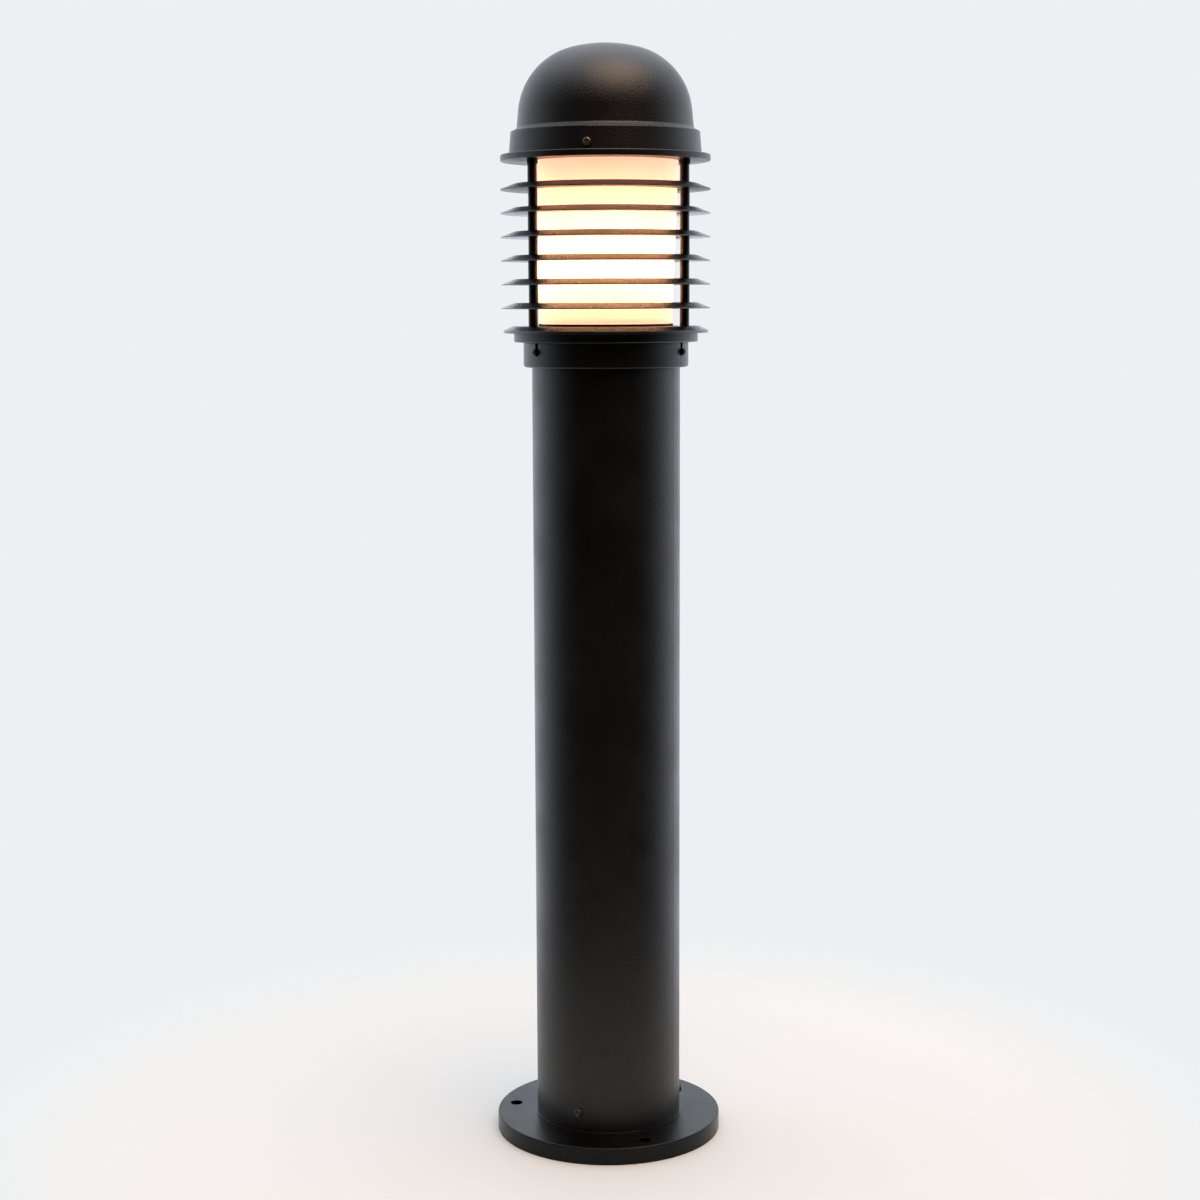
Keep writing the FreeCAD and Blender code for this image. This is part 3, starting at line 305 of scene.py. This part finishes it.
def paint_nodes():
    """Give every CAD node the material of its record slot, with a few finer choices.

    The top louvre keeps the plain coat, because it sits where the glow is weakest.
    """
    slots = {
        "black_paint": powder_coat("black_powder_coat"),
        "black_tube": powder_coat("black_spacer_coat", dust=0.0, grain=0.0008),
        "black_steel": black_oxide("black_oxide_steel"),
        "zinc_steel": plated_steel("dull_zinc_plate", (0.42, 0.37, 0.30, 1.0), amount=0.55),
        "brass": brass("tarnished_brass"),
        "gasket_rubber": rubber("gasket_rubber"),
        "opal_diffuser": opal_diffuser("opal_diffuser"),
        "white_ceramic": glazed_ceramic("glazed_porcelain"),
        "white_plastic": moulded("white_moulding", (0.78, 0.77, 0.74, 1.0)),
        "black_plastic": moulded("black_moulding", (0.022, 0.022, 0.023, 1.0)),
        "nickel_steel": plated_steel("nickel_plate", (0.62, 0.59, 0.53, 1.0), rough=0.20,
                                     amount=0.15),
        "opal_bulb": lit_bulb("lit_bulb"),
        "brown_insulation": moulded("brown_insulation", (0.16, 0.065, 0.028, 1.0), rough=0.30),
        "blue_insulation": moulded("blue_insulation", (0.03, 0.11, 0.36, 1.0), rough=0.30),
    }
    louvre_coat = powder_coat("black_louvre_coat", rough=0.27, dust=0.04, gloss=1.0)
    own = {
        "post_tube": scuffed_tube("black_post_coat"),
        "base_flange": powder_coat("black_base_coat", tone=0.0012, rough=0.26, dust=0.002,
                                   gloss=0.20),
        "cage_bottom_plate": louvre_coat,
        "post_screws": plated_steel("weathered_steel", (0.06, 0.05, 0.045, 1.0), rough=0.5,
                                    tarnish=(0.02, 0.014, 0.010, 1.0), amount=0.9),
        "cap_screws": plated_steel("bronzed_steel", (0.22, 0.165, 0.105, 1.0), rough=0.38,
                                   tarnish=(0.05, 0.03, 0.018, 1.0), amount=0.6),
    }
    own.update({"louvre_ring_%d" % level: louvre_coat for level in range(1, LOUVRE_COUNT)})
    for part in frame["record"]["subparts"]:
        node = frame["nodes"][part["node"]]
        look = own.get(part["node"]) or slots[part["material_slot"]]
        node.data.materials.clear()
        node.data.materials.append(look.material)


def make_floor():
    """A plain pale floor round the foot that fades into the pale surroundings."""
    mesh = bpy.data.meshes.new("floor")
    signs = ((-1, -1), (1, -1), (1, 1), (-1, 1))
    corners = [(x * FLOOR_REACH, y * FLOOR_REACH, 0) for x, y in signs]
    mesh.from_pydata(corners, [], [(0, 1, 2, 3)])
    floor = bpy.data.objects.new("floor", mesh)
    bpy.context.scene.collection.objects.link(floor)
    look = Look("pale_floor", Specular_IOR_Level=0.2)
    look.feed("Base Color", look.mix(look.noise(0.4, 2), *FLOOR_TINTS))
    look.feed("Roughness", look.fit(look.noise(0.2, 2), 0.3, 0.7, 0.60, 0.70))
    look.feed("Normal", look.relief(look.noise(0.0015, 2), 0.00003, 0.3))
    out = look.add("VectorMath", {"operation": "LENGTH"}, i0=look.place).outputs["Value"]
    solid, gone = FLOOR_FADE
    look.feed("Alpha", look.add("MapRange", {"interpolation_type": "SMOOTHSTEP"},
                                i0=out, i1=solid, i2=gone, i3=1.0, i4=0.0).outputs[0])
    mesh.materials.append(look.material)


def make_studio():
    """Soft studio light: bright above and behind, dark in front, and a warm lamp overhead."""
    world = bpy.data.worlds.new("studio")
    bpy.context.scene.world = world
    world.use_nodes = True
    tree = world.node_tree
    tree.nodes.clear()

    direction = add_node(tree, "TexCoord").outputs["Generated"]
    total = add_node(tree, "CombineXYZ", **dict(zip("XYZ", DIM_SURROUNDINGS))).outputs[0]
    for azimuth, elevation, inner, outer, colour in LIGHT_PATCHES:
        a, e = math.radians(azimuth), math.radians(elevation)
        middle = (math.sin(a) * math.cos(e), -math.cos(a) * math.cos(e), math.sin(e))
        dot = add_node(tree, "VectorMath", {"operation": "DOT_PRODUCT"}, i0=direction, i1=middle)
        soft = add_node(tree, "MapRange", {"interpolation_type": "SMOOTHSTEP"},
                        i0=dot.outputs["Value"], i1=math.cos(math.radians(outer)),
                        i2=math.cos(math.radians(inner)))
        patch = add_node(tree, "VectorMath", {"operation": "SCALE"}, i0=colour, i3=soft.outputs[0])
        total = add_node(tree, "VectorMath", {"operation": "ADD"},
                         i0=total, i1=patch.outputs[0]).outputs[0]
    lit = add_node(tree, "Background", Color=total, Strength=1.0)
    pale = add_node(tree, "Background", Color=PALE_BACKDROP, Strength=1.0)
    seen = add_node(tree, "LightPath").outputs["Is Camera Ray"]
    mixed = add_node(tree, "MixShader", i0=seen, i1=lit.outputs[0], i2=pale.outputs[0])
    add_node(tree, "OutputWorld", Surface=mixed.outputs[0])


def make_camera():
    """The camera at the photograph's viewing angle."""
    data = bpy.data.cameras.new("camera")
    data.sensor_width = 36.0
    data.lens = CAMERA_LENS
    data.clip_end = 100.0
    camera = bpy.data.objects.new("camera", data)
    bpy.context.scene.collection.objects.link(camera)
    camera.location = (CAMERA_DISTANCE * math.sin(CAMERA_AZIMUTH),
                       -CAMERA_DISTANCE * math.cos(CAMERA_AZIMUTH), CAMERA_HEIGHT)
    camera.rotation_euler = (math.pi / 2 - CAMERA_PITCH, CAMERA_ROLL, CAMERA_AZIMUTH - CAMERA_YAW)
    bpy.context.scene.camera = camera


make_camera()
paint_nodes()
make_floor()
make_studio()
bpy.context.scene.view_settings.view_transform = "Standard"
